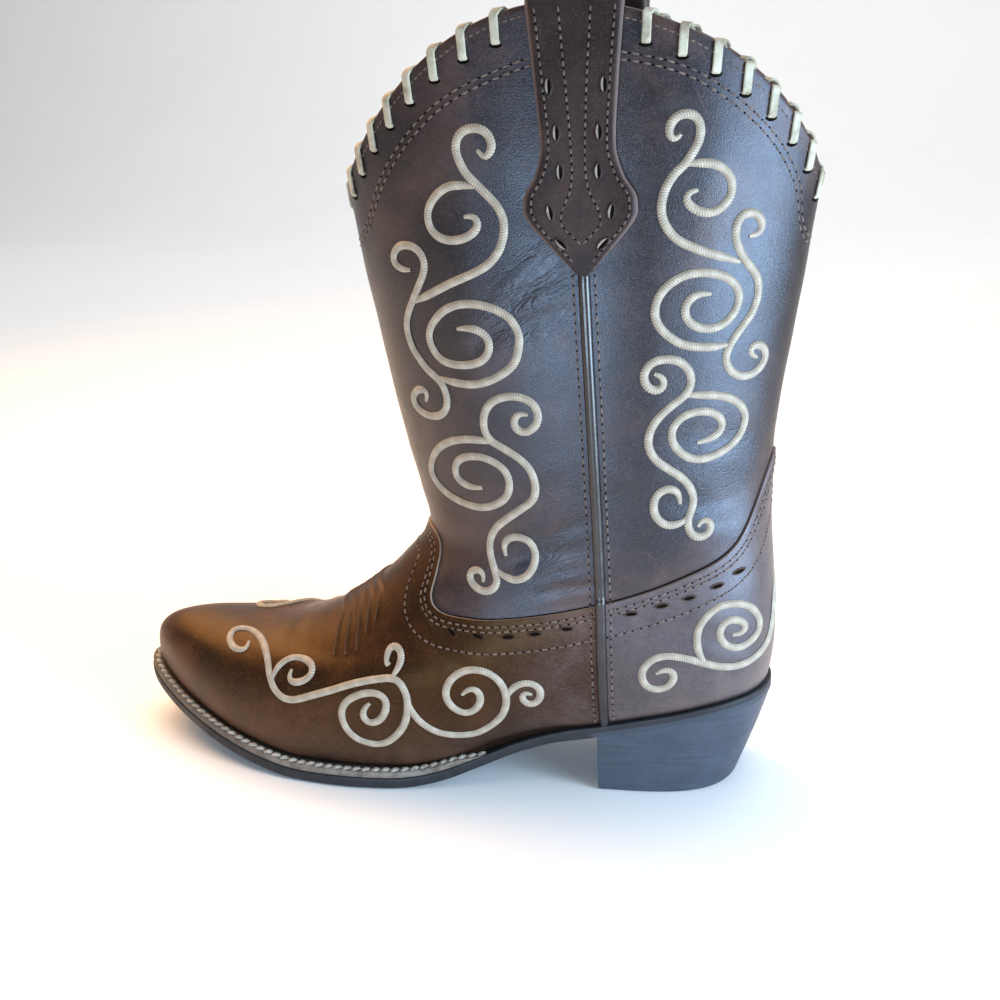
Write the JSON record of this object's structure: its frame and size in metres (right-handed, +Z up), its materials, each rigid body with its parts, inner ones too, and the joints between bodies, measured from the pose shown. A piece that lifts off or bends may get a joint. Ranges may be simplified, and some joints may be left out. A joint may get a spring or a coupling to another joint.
{
  "type": "western boot",
  "caption": "Left western boot in dark brown oiled leather: scalloped laced collar, side piping, pull straps, scroll embroidery, tan welt and a low slate heel",
  "frame": {"origin": "On the floor, in the middle of the heel's flat lower face", "axes": "+Z up along the shaft, -X towards the toe, -Y out of the outer side of the left boot"},
  "size_m": [0.292, 0.0968, 0.3285],
  "materials": {
    "outsole": "satin",
    "heel": "satin",
    "welt": "matte",
    "insole": "matte",
    "upper": "oiled satin",
    "piping": "semi-gloss",
    "strap": "oiled satin"
  },
  "bodies": {
    "root": {"outsole": "outsole", "heel": "heel", "welt": "welt", "insole": "insole", "upper": "upper", "side_piping_outer": "piping", "side_piping_inner": "piping", "pull_strap_outer": "strap", "pull_strap_inner": "strap"}
  },
  "joints": []
}
